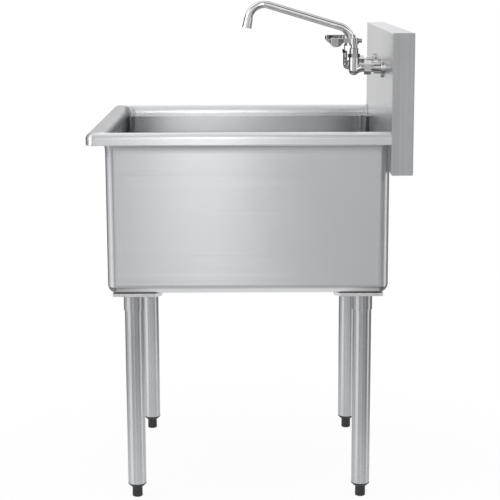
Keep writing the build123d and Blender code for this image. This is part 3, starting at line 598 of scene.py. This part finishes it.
def add_threads():
    brass = plain_metal("thread_brass", (0.62, 0.46, 0.22), 0.3)
    steel = plain_metal("thread_steel", (0.62, 0.62, 0.62), 0.25)
    for side, name in ((-1, "left"), (1, "right")):
        start = (side * TAP_HALF_CENTRES, 311.0, INLET_HEIGHT)
        add_thread(f"shank_thread_{name}", start, (0, 1, 0), 12.0, 22.0, 1.8, brass, "tap_brass")
    add_thread("outlet_thread", (0, -4, 425.0), (0, 0, 1), 24.1, 13.0, 2.2, steel, "strainer_steel")
    add_thread("cup_thread", (0, -4, 447.0), (0, 0, 1), 45.8, 12.0, 2.0, steel, "strainer_steel")


def add_details():
    weld = plain_metal("weld_steel", (0.52, 0.52, 0.53), 0.38, 900.0)
    add_mitre_welds(weld)
    add_rim_end_welds(weld)
    add_corner_welds(weld)
    add_socket_welds(galvanised("socket_weld_steel", 0.5))
    add_threads()


# --- Studio ------------------------------------------------------------------------------
def add_camera():
    camera = bpy.data.objects.new("camera", bpy.data.cameras.new("camera"))
    camera.data.lens = CAMERA_LENS
    camera.data.sensor_width = CAMERA_SENSOR
    turn = Matrix.Rotation(radians(CAMERA_TURN), 4, "Z")
    tilt = Matrix.Rotation(radians(90 - CAMERA_TILT_DOWN), 4, "X")
    roll = Matrix.Rotation(radians(CAMERA_ROLL), 4, "Z")
    camera.matrix_world = Matrix.Translation(CAMERA_PLACE) @ turn @ tilt @ roll
    bpy.context.scene.collection.objects.link(camera)
    bpy.context.scene.camera = camera


def ring(graph, turn, tones):
    """Brightness by direction around the object."""
    ramp = graph.node("ShaderNodeValToRGB", {0: graph.spread(turn, -pi, pi)})
    stops = ramp.color_ramp.elements
    for index, (angle, tone) in enumerate(tones):
        position = (angle + 180) / 360
        if index >= len(stops):
            stops.new(position)
        stops[index].position = position
        stops[index].color = (tone / 2, tone / 2, tone / 2, 1)
    return graph.math("MULTIPLY", ramp.outputs["Color"], 2.0)


def add_studio_walls():
    """World that is white to the camera, and a banded studio to every other ray."""
    world = bpy.data.worlds.new("studio")
    world.use_nodes = True
    bpy.context.scene.world = world
    graph = Graph(world.node_tree)
    heading = graph.node("ShaderNodeTexCoord").outputs["Generated"]
    split = graph.node("ShaderNodeSeparateXYZ", {0: heading})
    height = split.outputs["Z"]
    turn = graph.math("ARCTAN2", split.outputs["Y"], split.outputs["X"])
    level = graph.math(
        "MULTIPLY",
        graph.spread(height, -0.15, -0.09, smooth=True),
        graph.spread(height, 0.20, 0.34, 1.0, 0.0, True),
    )
    wall = graph.blend(level, ring(graph, turn, WALL_TONES), ring(graph, turn, EYE_LEVEL_TONES))
    front = graph.spread(split.outputs["X"], -0.1, 0.5, smooth=True)
    high = graph.spread(height, 0.36, 0.52, 1.15, HIGH_TONE, True)
    low = graph.spread(height, -0.62, -0.22, LOW_TONE, NEAR_FLOOR_TONE)
    dip = graph.spread(height, -0.25, -0.14, low, 1.0, True)
    back_low = graph.spread(height, -0.04, 0.02, BACK_LOW_TONE, 0.85, True)
    back = graph.spread(height, 0.07, 0.13, back_low, BACK_HIGH_TONE, True)
    shade = graph.blend(front, back, graph.math("MULTIPLY", high, dip))
    lift = graph.math(
        "MULTIPLY",
        graph.spread(turn, radians(2), radians(9), 0.0, UPPER_RIGHT_LIFT, True),
        graph.spread(turn, radians(42), radians(60), 1.0, 0.0, True),
    )
    lift = graph.math("MULTIPLY", lift, graph.spread(height, 0.16, 0.30, smooth=True))
    wall = graph.math("MULTIPLY", wall, graph.math("ADD", lift, 1.0))
    wall = graph.math("MULTIPLY", wall, shade)
    left, left_full, right_full, right = (radians(angle) for angle in STRIP_EDGES)
    strip = graph.math(
        "MULTIPLY",
        graph.spread(turn, left, left_full, smooth=True),
        graph.spread(turn, right_full, right, 1.0, 0.0, True),
    )
    strip = graph.math("MULTIPLY", strip, graph.spread(height, -0.17, -0.08, smooth=True))
    upper = graph.spread(height, 0.04, 0.10, STRIP_TONE, STRIP_TONE + STRIP_HIGH_TONE, True)
    strip = graph.math("MULTIPLY", strip, graph.spread(height, 0.50, 0.60, upper, 0.0, True))
    wall = graph.math("ADD", wall, strip)
    ceiling = graph.blend(graph.spread(height, 0.88, 0.97, smooth=True), wall, CEILING_TONE)
    seen = graph.node("ShaderNodeLightPath").outputs["Is Camera Ray"]
    background = world.node_tree.nodes["Background"]
    graph.feed(background, "Color", grey(1.0))
    graph.feed(background, "Strength", graph.blend(seen, ceiling, 1.0))


def add_floor():
    """Pale round floor that fades into the white around it and keeps a soft shadow."""
    shape = bmesh.new()
    bmesh.ops.create_circle(shape, cap_ends=True, segments=96, radius=FLOOR_RADIUS)
    mesh = bpy.data.meshes.new("floor")
    shape.to_mesh(mesh)
    shape.free()
    floor = bpy.data.objects.new("floor", mesh)
    bpy.context.scene.collection.objects.link(floor)
    finish = bpy.data.materials.new("floor_paint")
    finish.use_nodes = True
    graph = Graph(finish.node_tree)
    finish.node_tree.nodes.remove(finish.node_tree.nodes["Principled BSDF"])
    place = graph.place()
    paint = graph.node("ShaderNodeBsdfDiffuse", {"Color": grey(0.92)}).outputs[0]
    glow = graph.node("ShaderNodeEmission", {"Color": grey(1.0)}).outputs[0]
    clear = graph.node("ShaderNodeBsdfTransparent").outputs[0]
    path = graph.node("ShaderNodeLightPath").outputs
    mirrored = graph.math("MAXIMUM", path["Is Glossy Ray"], path["Is Transmission Ray"])
    seen = graph.math("MAXIMUM", path["Is Camera Ray"], mirrored)
    lifted = graph.math("MULTIPLY", seen, 0.94)
    pale = graph.node("ShaderNodeMixShader", {0: lifted, 1: paint, 2: glow}).outputs[0]
    reach = graph.node("ShaderNodeVectorMath", {0: place}, operation="LENGTH").outputs["Value"]
    fade = graph.spread(reach, FLOOR_FADE, FLOOR_RADIUS * 0.98, smooth=True)
    faded = graph.node("ShaderNodeMixShader", {0: fade, 1: pale, 2: clear}).outputs[0]
    graph.feed(finish.node_tree.nodes["Material Output"], "Surface", faded)
    mesh.materials.append(finish)


def add_lamp(name, place, aim, size, power):
    light = bpy.data.lights.new(name, "AREA")
    light.shape = "RECTANGLE"
    light.size, light.size_y = size
    light.energy = power
    lamp = bpy.data.objects.new(name, light)
    lamp.location = place
    lamp.rotation_euler = (Vector(aim) - Vector(place)).to_track_quat("-Z", "Y").to_euler()
    lamp.visible_camera = False
    bpy.context.scene.collection.objects.link(lamp)
    return lamp


def add_lamps():
    add_lamp("overhead", (0.6, -0.6, 3.2), (0, 0, 0.8), (3.0, 3.0), 10)
    add_lamp("window", (2.6, -3.2, 2.2), (0, 0, 0.6), (2.0, 2.0), 6)
    fill = add_lamp("fill", (0.0, 0.0, 3.4), (0, 0, 0), (4.0, 4.0), 60)
    fill.visible_glossy = False


bpy.context.scene.view_settings.view_transform = "Standard"
add_camera()
add_studio_walls()
add_floor()
add_lamps()
dress_sink()
dress_legs()
dress_drain()
dress_tap()
add_details()
